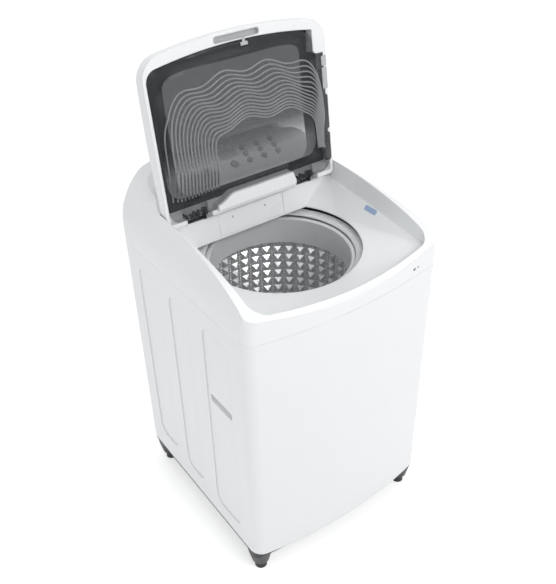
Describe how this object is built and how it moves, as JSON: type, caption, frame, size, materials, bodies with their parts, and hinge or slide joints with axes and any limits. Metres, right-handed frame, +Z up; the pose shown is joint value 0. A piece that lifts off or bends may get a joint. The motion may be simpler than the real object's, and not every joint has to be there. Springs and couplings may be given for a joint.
{
  "type": "top load washing machine",
  "caption": "White top load washing machine with its domed lid and smoked wash tray open, stainless drum, detergent drawer and rear console of round buttons.",
  "frame": {"origin": "bottom centre of the bounding box, on the floor", "axes": "+Z up, -Y is the front, the drum's axis lies near the origin's vertical"},
  "size_m": [0.61, 0.637, 1.4102],
  "materials": {
    "white_paint": "white enamel, semi-gloss",
    "white_plastic": "white moulded plastic, gloss",
    "black_plastic": "black, matt",
    "grey_plastic": "light grey, matt",
    "ring_plastic": "mid grey, satin",
    "silver_plastic": "silver grey, satin",
    "gloss_overlay": "pearl white, high gloss",
    "display_glass": "smoked display window",
    "clear_pane": "clear tinted pane",
    "smoked_plastic": "smoked see-through plastic",
    "blue_plastic": "light blue plastic",
    "board": "circuit board with its parts",
    "stainless": "pressed stainless steel",
    "steel": "zinc plated steel",
    "aluminium": "die-cast aluminium",
    "copper": "copper windings on laminations",
    "soft_rubber": "soft grey rubber"
  },
  "bodies": {
    "cabinet": {"cabinet_shell": "white_paint", "rear_panel": "white_paint", "rear_screws": "steel", "base_frame": "black_plastic", "foot_locknuts": "black_plastic", "top_cover": "white_plastic", "control_panel": "gloss_overlay", "display_window": "display_glass", "control_board": "board", "dispenser_housing": "grey_plastic", "inlet_valve": "grey_plastic", "drain_outlet": "black_plastic", "cord_gland": "black_plastic", "lid_switch": "black_plastic", "hinge_brackets": "black_plastic", "hinge_pins": "steel", "corner_brackets": "steel", "suspension_rods": "steel"},
    "tub": {"outer_tub": "grey_plastic", "tub_cover": "grey_plastic", "suspension_cups": "black_plastic", "suspension_springs": "steel", "gearcase": "aluminium", "bearings": "steel", "motor_stator": "copper", "drain_valve": "grey_plastic", "drain_hose": "soft_rubber"},
    "drum": {"basket": "stainless", "basket_base": "aluminium", "balance_ring": "ring_plastic", "spin_shaft": "steel"},
    "agitator": {"pulsator": "grey_plastic", "pulsator_cap": "blue_plastic", "drive_shaft": "steel", "motor_rotor": "steel"},
    "lid": {"lid_frame": "white_plastic", "lid_window": "clear_pane", "lid_handle": "silver_plastic"},
    "tray": {"sink_tray": "smoked_plastic", "tray_ribs": "smoked_plastic", "tray_catch": "silver_plastic", "tray_clips": "silver_plastic"},
    "drawer": {"drawer_front": "white_plastic", "drawer_box": "grey_plastic", "siphon_cap": "blue_plastic"},
    "power": {"power_button": "silver_plastic"},
    "start": {"start_button": "silver_plastic"},
    "key_1": {"button_1": "silver_plastic"},
    "key_2": {"button_2": "silver_plastic"},
    "key_3": {"button_3": "silver_plastic"},
    "key_4": {"button_4": "silver_plastic"},
    "key_5": {"button_5": "silver_plastic"},
    "key_6": {"button_6": "silver_plastic"},
    "key_7": {"button_7": "silver_plastic"},
    "key_8": {"button_8": "silver_plastic"},
    "key_9": {"button_9": "silver_plastic"},
    "leg_front_left": {"foot_front_left": "black_plastic"},
    "leg_front_right": {"foot_front_right": "black_plastic"},
    "leg_back_left": {"foot_back_left": "black_plastic"},
    "leg_back_right": {"foot_back_right": "black_plastic"}
  },
  "joints": [
    {"name": "lid_hinge", "type": "hinge", "parent": "cabinet", "child": "lid", "pos_m": [0, 0.132, 0.972], "axis": [-1, 0, 0], "range_deg": [-103, 0]},
    {"name": "tray_hinge", "type": "hinge", "parent": "cabinet", "child": "tray", "pos_m": [0, 0.132, 0.972], "axis": [-1, 0, 0], "range_deg": [-103, 0]},
    {"name": "drawer_slide", "type": "slide", "parent": "cabinet", "child": "drawer", "axis": [0, -1, 0], "range_m": [0, 0.13]},
    {"name": "tub_suspension", "type": "slide", "parent": "cabinet", "child": "tub", "axis": [0, 0, 1], "range_m": [-0.03, 0.008], "stiffness_N_per_m": 10000, "springref_m": 0.0345, "deforming": ["suspension_springs", "drain_hose"]},
    {"name": "basket_spin", "type": "hinge", "parent": "tub", "child": "drum", "pos_m": [0, 0, 0.3], "axis": [0, 0, 1], "continuous": true},
    {"name": "pulsator_spin", "type": "hinge", "parent": "tub", "child": "agitator", "pos_m": [0, 0, 0.3], "axis": [0, 0, 1], "continuous": true},
    {"name": "power_press", "type": "slide", "parent": "cabinet", "child": "power", "axis": [0, 0.5105, -0.8599], "range_m": [0, 0.001], "stiffness_N_per_m": 400},
    {"name": "start_press", "type": "slide", "parent": "cabinet", "child": "start", "axis": [0, 0.5105, -0.8599], "range_m": [0, 0.001], "stiffness_N_per_m": 400},
    {"name": "press_1", "type": "slide", "parent": "cabinet", "child": "key_1", "axis": [0, 0.5105, -0.8599], "range_m": [0, 0.001], "stiffness_N_per_m": 400},
    {"name": "press_2", "type": "slide", "parent": "cabinet", "child": "key_2", "axis": [0, 0.5105, -0.8599], "range_m": [0, 0.001], "stiffness_N_per_m": 400},
    {"name": "press_3", "type": "slide", "parent": "cabinet", "child": "key_3", "axis": [0, 0.5105, -0.8599], "range_m": [0, 0.001], "stiffness_N_per_m": 400},
    {"name": "press_4", "type": "slide", "parent": "cabinet", "child": "key_4", "axis": [0, 0.5105, -0.8599], "range_m": [0, 0.001], "stiffness_N_per_m": 400},
    {"name": "press_5", "type": "slide", "parent": "cabinet", "child": "key_5", "axis": [0, 0.5105, -0.8599], "range_m": [0, 0.001], "stiffness_N_per_m": 400},
    {"name": "press_6", "type": "slide", "parent": "cabinet", "child": "key_6", "axis": [0, 0.5105, -0.8599], "range_m": [0, 0.001], "stiffness_N_per_m": 400},
    {"name": "press_7", "type": "slide", "parent": "cabinet", "child": "key_7", "axis": [0, 0.5105, -0.8599], "range_m": [0, 0.001], "stiffness_N_per_m": 400},
    {"name": "press_8", "type": "slide", "parent": "cabinet", "child": "key_8", "axis": [0, 0.5105, -0.8599], "range_m": [0, 0.001], "stiffness_N_per_m": 400},
    {"name": "press_9", "type": "slide", "parent": "cabinet", "child": "key_9", "axis": [0, 0.5105, -0.8599], "range_m": [0, 0.001], "stiffness_N_per_m": 400},
    {"name": "foot_front_left_screw", "type": "slide", "parent": "cabinet", "child": "leg_front_left", "axis": [0, 0, -1], "range_m": [0, 0.012]},
    {"name": "foot_front_right_screw", "type": "slide", "parent": "cabinet", "child": "leg_front_right", "axis": [0, 0, -1], "range_m": [0, 0.012]},
    {"name": "foot_back_left_screw", "type": "slide", "parent": "cabinet", "child": "leg_back_left", "axis": [0, 0, -1], "range_m": [0, 0.012]},
    {"name": "foot_back_right_screw", "type": "slide", "parent": "cabinet", "child": "leg_back_right", "axis": [0, 0, -1], "range_m": [0, 0.012]}
  ],
  "couplings": [
    {"joint": "tray_hinge", "follows": "lid_hinge", "ratio": 1}
  ]
}
